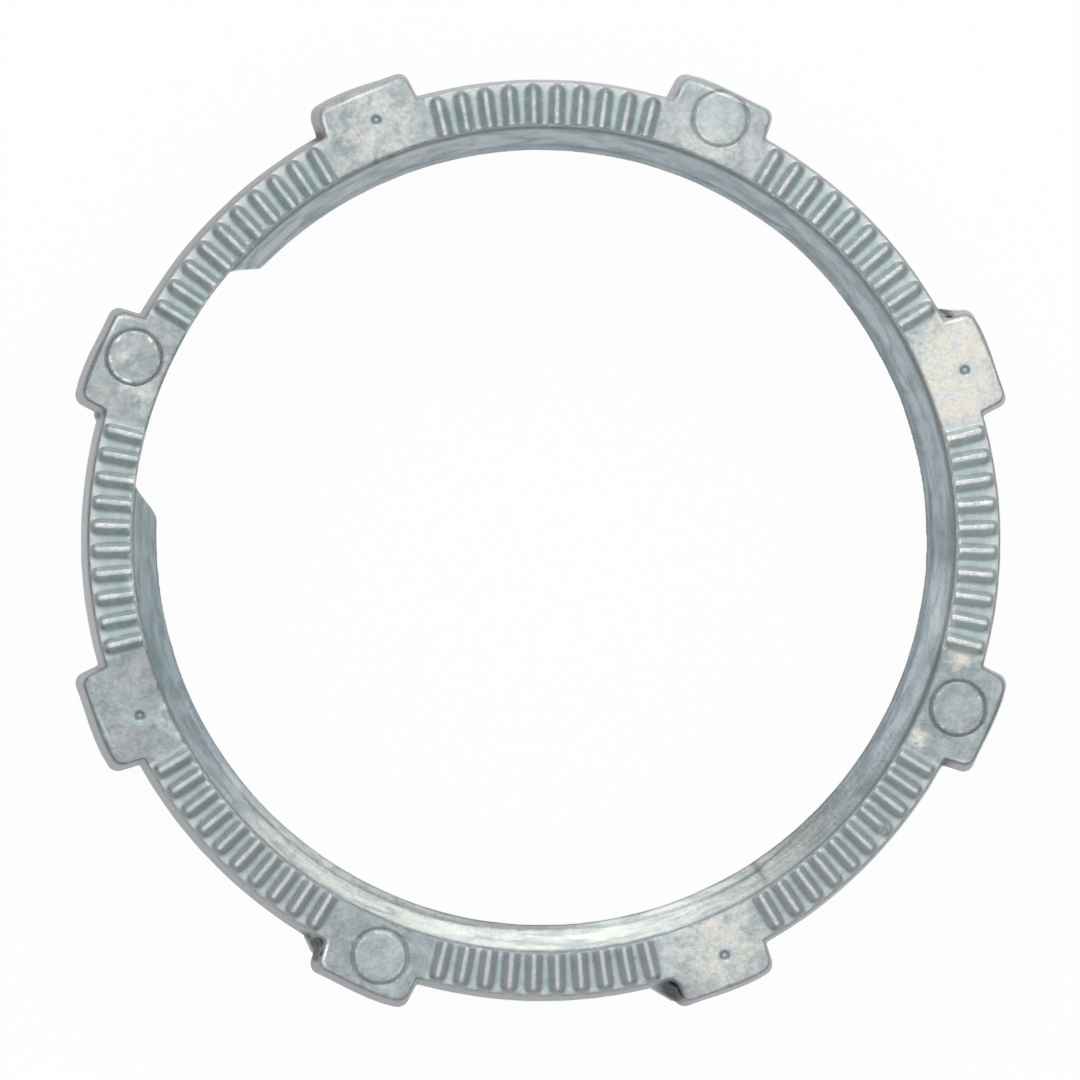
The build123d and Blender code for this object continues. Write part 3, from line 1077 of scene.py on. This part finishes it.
def rib_skin(desk, skin):
    """Rib valleys with painted light near the rim, painted shade on the flanks and the outer ends, and
    painted highlights on the rubbed crests and at the inner ends.
    """
    c = colours()
    floor = desk.floor
    crest_highlight = desk.attribute("crest_highlight")
    in_ribs, offset, aside = rib_places(desk)
    ribbed = desk.times(in_ribs, desk.face)

    # Valleys
    valley = desk.mix(desk.front, rgba(c.valley), rgba(c.valley_front))
    skin = desk.mix(desk.times(ribbed, 0.55), skin, valley)
    # Painted light on the valley floors near the rim, where the ribs end, a little stronger towards the back
    low = desk.span(desk.z, floor + 0.2, floor + 0.05)
    valley_light_share = desk.times(desk.span(desk.radius, desk.rim - 1.1, desk.rim - 0.3), low, ribbed)
    valley_light_share = desk.times(valley_light_share, desk.span(desk.y, FRONT[1], FRONT[0], 0.4, 0.6))
    skin = desk.mix(valley_light_share, skin, rgba(c.pale_stain_and_valley_light))

    # Flanks: painted shade, darker on the flanks that face away from the far lamp, lighter on the right and
    # at the front
    wander = desk.times(desk.minus(desk.speck, 0.5), 0.5)
    ragged_z = desk.plus(desk.z, desk.times(wander, 0.3))
    flank_shade_share = desk.times(desk.span(ragged_z, floor + 0.04, floor + 0.24), in_ribs)
    flank_shade_share = desk.times(flank_shade_share, desk.span(desk.mottle, 0.3, 0.7, 0.32, 0.02, "LINEAR"))
    on_right = desk.span(desk.rightward, 0.6, 0.95)
    flank = desk.mix(on_right, rgba(c.flank), rgba(c.flank_shade_right))
    flank = desk.mix(desk.front, flank, rgba(c.flank_shade_front))
    flank = desk.mix(desk.span(desk.patch, 0.44, 0.62, 0.0, 0.55), flank, rgba(c.lavender))
    # Share of the painted shade: more on the flanks that face away from the far lamp, and more of its
    # lighter copies on the right and at the front
    side = desk.times(desk.span(offset, -0.06, 0.06, -1.0, 1.0), desk.rightward)
    bloom = desk.times(desk.front, desk.span(desk.blush, 0.42, 0.6, 0.6, 1.2, "LINEAR"))
    coat = desk.minus(1.0, desk.times(side, 0.85))
    coat = desk.plus(coat, desk.times(desk.most(bloom, on_right), 1.8))
    skin = desk.mix(desk.times(flank_shade_share, coat, clamp=True), skin, flank)

    # Outer ends: painted shade, brownish, on the rounded ends
    rib_end_shade_share = desk.span(desk.radius, desk.rim - 0.8, desk.rim - 0.4)
    rib_end_shade_share = desk.times(rib_end_shade_share, desk.span(desk.z, floor + 0.05, floor + 0.25), in_ribs, 0.5)
    skin = desk.mix(rib_end_shade_share, skin, rgba(c.rib_end_painted_shade))

    # Crests: a painted highlight with glints on the rubbed crests, and painted highlights at the inner ends
    # of the ribs
    crest_highlight_share = desk.times(
        desk.span(desk.plus(aside, wander), 0.24, 0.1),
        desk.span(desk.z, desk.top - 0.3, desk.top - 0.14),
        desk.span(desk.radius, desk.rim - 0.5, desk.rim - 0.75),
        desk.span(desk.patch, 0.35, 0.6, 0.5, 1.0),
        desk.span(desk.mottle, 0.4, 0.56, 0.3, 1.0),
        crest_highlight,
    )
    crest_glints = desk.times(desk.span(desk.fine, 0.46, 0.58), crest_highlight)
    skin = desk.mix(crest_highlight_share, skin, desk.mix(crest_glints, rgba(c.crest), rgba(c.painted_highlight)))
    inner_end_highlight = desk.times(
        desk.span(desk.radius, desk.bore + 0.6, desk.bore + 0.3),
        ribbed,
        desk.span(desk.speck, 0.5, 0.6),
        crest_highlight,
        0.7,
    )
    return desk.mix(inner_end_highlight, skin, rgba(c.painted_highlight))


def thread_skin(desk, skin):
    """Streaks along the thread, with painted light and shade on either side of the core line, and painted
    light and sheen on the stretch that faces the lamps.
    """
    c = colours()
    # Painted light on the stretch of thread at the front, which faces the lamps
    lit = desk.span(desk.y, *LIT_STRETCH)
    dark = desk.mix(lit, rgba(c.ridge_dark), rgba(c.ridge_lit_dark))
    light = desk.mix(lit, rgba(c.ridge_light), rgba(c.ridge_lit_light))
    streaks = desk.mix(desk.span(desk.streak, 0.32, 0.66), dark, light)
    on_left = desk.span(desk.rightward, -0.75, -0.95)
    streaks = desk.mix(on_left, streaks, rgba(c.ridge_left), "MULTIPLY")
    skin = desk.mix(desk.times(desk.on_ridge, 0.7), skin, streaks)
    # Painted light and shade along the turn of the thread, on either side of the core line
    inside = desk.span(desk.core_gap, 0.1, -0.1)
    inner_shade = desk.times(inside, desk.attribute("light_and_shade_inside_core_line"))
    outer_shade = desk.times(desk.minus(1.0, inside), desk.attribute("light_and_shade_outside_core_line"))
    shade = desk.times(desk.plus(inner_shade, outer_shade), desk.on_ridge)
    skin = desk.toned(skin, desk.plus(shade, 1.0))
    uneven = desk.grey(desk.span(desk.streak, 0.3, 0.7, 0.92, 1.08, "LINEAR"))
    skin = desk.mix(1.0, skin, desk.mix(desk.on_ridge, (1, 1, 1, 1), uneven), "MULTIPLY")
    # Painted sheen where the painted light along the thread is strongest
    glow = desk.times(desk.most(shade, 0.0), desk.span(desk.streak, 0.38, 0.6, 1.0, 4.5))
    sheen = desk.mix(lit, rgba(c.ridge_sheen), rgba(c.ridge_lit_sheen))
    return desk.mix(desk.times(glow, 0.85, clamp=True), skin, sheen)


def edge_highlights_and_glints(desk, skin):
    """Painted highlights along the edges of the lug faces, and painted glints."""
    painted_highlight = rgba(colours().painted_highlight)
    along_edge = desk.span(desk.math("ABSOLUTE", desk.minus(desk.inset, 0.3)), 0.17, 0.04)
    painted_edge_highlight = desk.times(along_edge, desk.times(desk.attribute("painted_edge_highlight"), desk.face))
    painted_edge_highlight = desk.times(painted_edge_highlight, desk.span(desk.fine, 0.35, 0.55, 0.25, 1.0), clamp=True)
    skin = desk.mix(painted_edge_highlight, skin, painted_highlight)
    return desk.mix(desk.attribute("painted_glint"), skin, painted_highlight)


def dirt_and_shade_lines(desk):
    """Share of the dark lines: the dark core line and seam, chips on the inner edge, painted shade on the
    bore wall and the crest of the thread, and a painted dark reflection under the face edge.
    """
    s = sizes()
    floor = desk.floor
    core_line = desk.span(desk.math("ABSOLUTE", desk.core_gap), 0.2, 0.05)
    core_line = desk.times(core_line, desk.attribute("core_line"), desk.on_ridge, 0.5)

    # Painted shade on the bore wall just under the face, weaker at the front
    bore_wall_shade = desk.times(
        desk.span(desk.radius, desk.bore - 0.35, desk.bore - 0.12),
        desk.span(desk.radius, desk.bore + 0.3, desk.bore + 0.2),
        desk.span(desk.z, floor - 0.02, floor - 0.2),
        desk.span(desk.mottle, 0.35, 0.6, 0.6, 1.0),
        desk.span(desk.y, -34.0, -24.0, 0.12, 0.5),
    )
    chipped = desk.times(
        desk.span(desk.math("ABSOLUTE", desk.minus(desk.radius, desk.bore + 0.08)), 0.26, 0.04),
        desk.span(desk.speck, 0.48, 0.58),
        desk.face,
        desk.span(desk.patch, 0.4, 0.6, 0.1, 0.6),
    )
    # Painted shade on the crest of the thread, whose face looks inwards
    crest_radius = desk.bore - s.thread_depth / MM
    land = desk.times(desk.span(desk.radius, crest_radius + 0.25, crest_radius + 0.08), 0.3)
    # Painted dark reflection on the outer wall just under the edge of the face
    edge_dark_reflection = desk.times(
        desk.span(desk.inset, 0.2, 0.02),
        desk.span(desk.z, floor - 1.3, floor - 0.5),
        desk.outside,
        desk.attribute("edge_dark_reflection"),
    )
    off_seam = desk.math("ABSOLUTE", desk.minus(desk.z, s.parting_height / MM))
    seam = desk.span(off_seam, 0.16, 0.04)
    seam = desk.times(seam, desk.outside, desk.span(desk.speck, 0.35, 0.6, 0.15, 0.4))
    return desk.most(core_line, bore_wall_shade, chipped, land, edge_dark_reflection, seam)


def pin_mark(desk, skin, dirt_and_shade, mark):
    """Darkened groove of one pin mark, its cooler disc and a painted highlight on the inner edge of the
    groove.
    """
    c = colours()
    degrees_round, inset, _, dark, highlight_strength, cool = mark
    px, py = polar_place(degrees_round, tip_radius("face") / MM - inset)
    wave = desk.times(desk.minus(desk.mottle, 0.5), 0.25)
    away = desk.plus(desk.distance(px, py), wave)
    off_ring = desk.minus(away, sizes().pin_diameter / 2 / MM - 0.1)
    ring = desk.span(desk.math("ABSOLUTE", off_ring), 0.15, 0.05)
    ring = desk.times(ring, desk.span(desk.speck, 0.3, 0.55, 0.4 * dark, dark), desk.face)
    on_disc = desk.times(desk.span(off_ring, -0.1, -0.3), desk.face, cool)
    skin = desk.mix(on_disc, skin, rgba(c.disc))
    # Painted highlight on the inner edge of the groove
    painted_rim_highlight = desk.span(desk.math("ABSOLUTE", desk.plus(off_ring, 0.3)), 0.2, 0.05)
    painted_rim_highlight = desk.times(painted_rim_highlight, desk.face, desk.span(desk.mottle, 0.5, 0.6, 0.0, 0.8 * highlight_strength))
    skin = desk.mix(painted_rim_highlight, skin, rgba(c.painted_highlight))
    return skin, desk.most(dirt_and_shade, ring)


def pip_mark(desk, skin, dirt_and_shade, mark):
    """Darkened sunk ring of one pip, and the cool bloom round it."""
    degrees_round, inset = mark
    px, py = polar_place(degrees_round, tip_radius("face") / MM - inset)
    away = desk.distance(px, py)
    ring = desk.times(desk.span(desk.math("ABSOLUTE", desk.minus(away, 0.29)), 0.2, 0.06), 0.6)
    halo = desk.times(desk.span(desk.plus(away, desk.mottle), 1.9, 0.9), desk.face, 0.45)
    return desk.mix(halo, skin, rgba(colours().halo)), desk.most(dirt_and_shade, ring)


def zinc_material():
    c = colours()
    material = bpy.data.materials.new("cast_zinc_skin")
    desk = SkinDesk(material)
    skin = plain_skin(desk)
    for coat in (stained_skin, wall_skin, rib_skin, thread_skin, edge_highlights_and_glints):
        skin = coat(desk, skin)
    dirt_and_shade = dirt_and_shade_lines(desk)
    for mark in PIN_MARKS:
        skin, dirt_and_shade = pin_mark(desk, skin, dirt_and_shade, mark)
    for mark in PIP_MARKS:
        skin, dirt_and_shade = pip_mark(desk, skin, dirt_and_shade, mark)
    # Dark lines, with the painted shade and the painted dark reflection among them
    dirt_and_shade = desk.times(dirt_and_shade, desk.span(desk.fine, 0.3, 0.6, 0.8, 1.0))
    skin = desk.mix(dirt_and_shade, skin, rgba(c.line))
    # Painted shadow in the feet of the lugs, and dark dirt in small pits and on the inner edge
    skin = desk.mix(desk.attribute("painted_shadow_and_dirt"), skin, rgba(c.painted_shadow_and_dirt))

    grain = desk.plus(desk.times(desk.mottle, 0.8), desk.times(desk.speck, 0.6))
    grain = desk.plus(grain, desk.times(desk.fine, 0.3))
    bump = desk.node("ShaderNodeBump")
    bump.inputs["Strength"].default_value = 0.5
    bump.inputs["Distance"].default_value = 0.16 * MM
    desk.link(grain, bump.inputs["Height"])
    shader = desk.node("ShaderNodeBsdfPrincipled")
    desk.link(skin, shader.inputs["Base Color"])
    shader.inputs["Metallic"].default_value = 0.7
    desk.link(desk.span(desk.fine, 0.3, 0.7, 0.36, 0.52, "LINEAR"), shader.inputs["Roughness"])
    desk.link(bump.outputs["Normal"], shader.inputs["Normal"])
    output = desk.node("ShaderNodeOutputMaterial")
    desk.link(shader.outputs["BSDF"], output.inputs["Surface"])
    return material


def face_inset(x, y):
    """How far each point lies inside the outline of the bearing face, in millimetres."""
    s = sizes()
    radius = np.hypot(x, y)
    around = np.arctan2(y, x) - s.lug_first
    lug_step = 2 * pi / s.lug_count
    from_lug = around - np.round(around / lug_step) * lug_step
    along = radius * np.cos(from_lug)
    across = np.abs(radius * np.sin(from_lug))
    ring = ring_radius("face") / MM
    half = s.lug_half_width / MM - s.lug_taper / s.lug_face_reach * (along - ring)
    tip = tip_radius("face") / MM + s.lug_crown / MM * (1 - (across * MM / s.lug_half_width) ** 2)
    corner = s.lug_corner / MM
    from_flank = half - across
    from_tip = tip - along
    in_corner = (from_flank < corner) & (from_tip < corner)
    round_corner = corner - np.hypot(corner - from_flank, corner - from_tip)
    in_lug = np.where(in_corner, round_corner, np.minimum(from_flank, from_tip))
    return np.maximum(ring - radius, in_lug)


def spots(x, y, table):
    """The strongest of a list's soft spots at each point."""
    strongest = np.zeros(len(x))
    for degrees_round, distance, spread, strength in table:
        px, py = polar_place(degrees_round, distance)
        strongest = np.maximum(strongest, strength * bell(np.hypot(x - px, y - py), spread))
    return strongest


def paint_masks(nut):
    """Store the marks of wear, the tones of the skin and the painted light and shade as attributes of the
    casting's points.
    """
    s = sizes()
    x, y, z = read_places(nut.data).T / MM
    below_face = np.clip((s.face_height / MM + 0.05 - z) / 0.4, 0.35, 1)
    above_back = np.clip((z - 0.5) / 5.5, 0.2, 1)
    around = np.degrees(np.arctan2(y, x)) % 360
    lug_step = 360 / s.lug_count
    from_first = (around - degrees(s.lug_first)) / lug_step
    from_lug = (from_first + 0.5) % 1 * lug_step - lug_step / 2
    lug = np.round(from_first).astype(int) % s.lug_count
    group = np.floor(from_first).astype(int) % s.lug_count
    fade_start = 6.7
    fade_length = 1.2
    on_ribs = np.clip((np.abs(from_lug) - fade_start) / fade_length, 0, 1)
    pad_tone, pad_warmth = np.array(LUG_SKINS).T
    rib_tone, rib_crest_highlight, edge, wall = np.array(GROUP_SKINS).T
    numbers = np.arange(-1, s.lug_count + 1)
    group_middles = degrees(s.lug_first) + lug_step * (numbers + 0.5)
    wrapped = numbers % s.lug_count
    gap, line, inside, outside = core_line_fields(x * MM, y * MM)
    fields = {
        "stain": spots(x, y, STAINS),
        "painted_shadow_and_dirt": np.clip(spots(x, y, SHADOW_AND_DIRT) * below_face * above_back, 0, 1),
        "painted_edge_highlight": spots(x, y, PAINTED_EDGE_HIGHLIGHTS),
        "painted_glint": spots(x, y, PAINTED_GLINTS),
        "tone": pad_tone[lug] * (1 - on_ribs) + rib_tone[group] * on_ribs,
        "warmth": pad_warmth[lug] * (1 - on_ribs),
        "crest_highlight": rib_crest_highlight[group],
        "edge_dark_reflection": np.interp(around, group_middles, edge[wrapped]),
        "wall_painted_shade": np.interp(around, group_middles, wall[wrapped]),
        "face_inset": face_inset(x, y),
        "core_gap": gap,
        "core_line": line,
        "light_and_shade_inside_core_line": inside,
        "light_and_shade_outside_core_line": outside,
    }
    for name, values in fields.items():
        attribute = nut.data.attributes.new(name, "FLOAT", "POINT")
        attribute.data.foreach_set("value", values.astype(np.float32))


class LOCKNUT_OT_finish(bpy.types.Operator):
    """Give the casting its mottled zinc skin, with painted light and shade"""

    bl_idname = "locknut.finish"
    bl_label = "Zinc skin"

    def execute(self, context):
        nut = bpy.data.objects["nut_casting"]
        paint_masks(nut)
        nut.data.materials.clear()
        nut.data.materials.append(zinc_material())
        return {"FINISHED"}


def floor_material():
    c = colours()
    material = bpy.data.materials.new("pale_floor")
    desk = Desk(material)
    rays = desk.node("ShaderNodeLightPath")
    kinds = ("Is Camera Ray", "Is Glossy Ray", "Is Transmission Ray")
    seen = desk.most(*(rays.outputs[kind] for kind in kinds))
    paper = desk.node("ShaderNodeBsdfDiffuse")
    paper.inputs["Color"].default_value = rgba(c.floor)
    glow = desk.node("ShaderNodeEmission")
    glow.inputs["Color"].default_value = (1, 1, 1, 1)
    glow.inputs["Strength"].default_value = 1.0
    blend = desk.node("ShaderNodeMixShader")
    desk.link(desk.times(seen, FLOOR_GLOW), blend.inputs[0])
    desk.link(paper.outputs[0], blend.inputs[1])
    desk.link(glow.outputs[0], blend.inputs[2])
    output = desk.node("ShaderNodeOutputMaterial")
    desk.link(blend.outputs[0], output.inputs["Surface"])
    return material


def add_lamp(name, place, tip_degrees, width, depth, power):
    """Hang a soft lamp that is tipped about the x axis."""
    clear_selection()
    bpy.ops.object.light_add(type="AREA", location=place, rotation=(radians(tip_degrees), 0, 0))
    lamp = bpy.context.object
    lamp.name = name
    lamp.data.shape = "RECTANGLE"
    lamp.data.size = width
    lamp.data.size_y = depth
    lamp.data.energy = power


class LOCKNUT_OT_stage(bpy.types.Operator):
    """Set the floor, the soft lamps, the pale world and the camera"""

    bl_idname = "locknut.stage"
    bl_label = "Stage"

    def execute(self, context):
        scene = context.scene
        floor_radius = 1.5
        clear_selection()
        bpy.ops.mesh.primitive_circle_add(
            vertices=96,
            radius=floor_radius,
            fill_type="NGON",
            location=(0, 0, 0),
        )
        floor = begin("floor")
        bpy.ops.object.mode_set(mode="OBJECT")
        floor.data.materials.append(floor_material())

        add_lamp("overhead_softbox", (0, 0.10, 0.90), tip_degrees=-6, width=0.8, depth=0.6, power=2.2)
        add_lamp("far_softbox", (-0.02, 0.72, 0.40), tip_degrees=-61, width=1.0, depth=0.36, power=3.4)

        world = bpy.data.worlds.new("studio")
        scene.world = world
        desk = Desk(world)
        dim = desk.node("ShaderNodeBackground")
        dim.inputs["Color"].default_value = (0.94, 0.97, 1.0, 1)
        dim.inputs["Strength"].default_value = 0.62
        output = desk.node("ShaderNodeOutputWorld")
        desk.link(dim.outputs[0], output.inputs["Surface"])

        tilt = radians(4.1)
        lean = radians(1.2)
        reach = 1.4
        framed_width = 95.69 * MM
        sensor_width = 36
        target = (-0.43 * MM, -0.16 * MM, sizes().face_height)
        clear_selection()
        bpy.ops.object.camera_add(
            location=(
                target[0] - reach * sin(tilt),
                target[1] - reach * cos(tilt) * sin(lean),
                target[2] + reach * cos(tilt) * cos(lean),
            ),
            rotation=(lean, -tilt, 0),
        )
        camera = context.object
        camera.name = "photo_camera"
        camera.data.sensor_width = sensor_width
        camera.data.lens = sensor_width * reach / framed_width
        camera.data.clip_start = 0.01
        camera.data.clip_end = 100
        scene.camera = camera
        scene.view_settings.view_transform = "Standard"
        return {"FINISHED"}


class LOCKNUT_PT_panel(bpy.types.Panel):
    """The steps of the model in the 3D view's sidebar"""

    bl_idname = "LOCKNUT_PT_panel"
    bl_label = "Conduit Locknut"
    bl_space_type = "VIEW_3D"
    bl_region_type = "UI"
    bl_category = "Locknut"

    def draw(self, context):
        layout = self.layout
        for step in STEPS:
            layout.operator(step.bl_idname)
        for group in (sizes(), colours()):
            box = layout.box()
            for name in group.__annotations__:
                box.prop(group, name)


STEPS = (
    LOCKNUT_OT_ring,
    LOCKNUT_OT_lugs,
    LOCKNUT_OT_foot_webs,
    LOCKNUT_OT_ribs,
    LOCKNUT_OT_thread,
    LOCKNUT_OT_casting,
    LOCKNUT_OT_finish,
    LOCKNUT_OT_stage,
)
CLASSES = (LocknutSizes, LocknutColours) + STEPS + (LOCKNUT_PT_panel,)


def register():
    for made in CLASSES:
        bpy.utils.register_class(made)
    bpy.types.Scene.locknut_sizes = PointerProperty(type=LocknutSizes)
    bpy.types.Scene.locknut_colours = PointerProperty(type=LocknutColours)


def unregister():
    del bpy.types.Scene.locknut_colours
    del bpy.types.Scene.locknut_sizes
    for made in reversed(CLASSES):
        bpy.utils.unregister_class(made)


def main():
    register()
    bpy.ops.locknut.ring()
    bpy.ops.locknut.lugs()
    bpy.ops.locknut.foot_webs()
    bpy.ops.locknut.ribs()
    bpy.ops.locknut.thread()
    bpy.ops.locknut.casting()
    bpy.ops.locknut.finish()
    bpy.ops.locknut.stage()


if __name__ == "__main__":
    main()
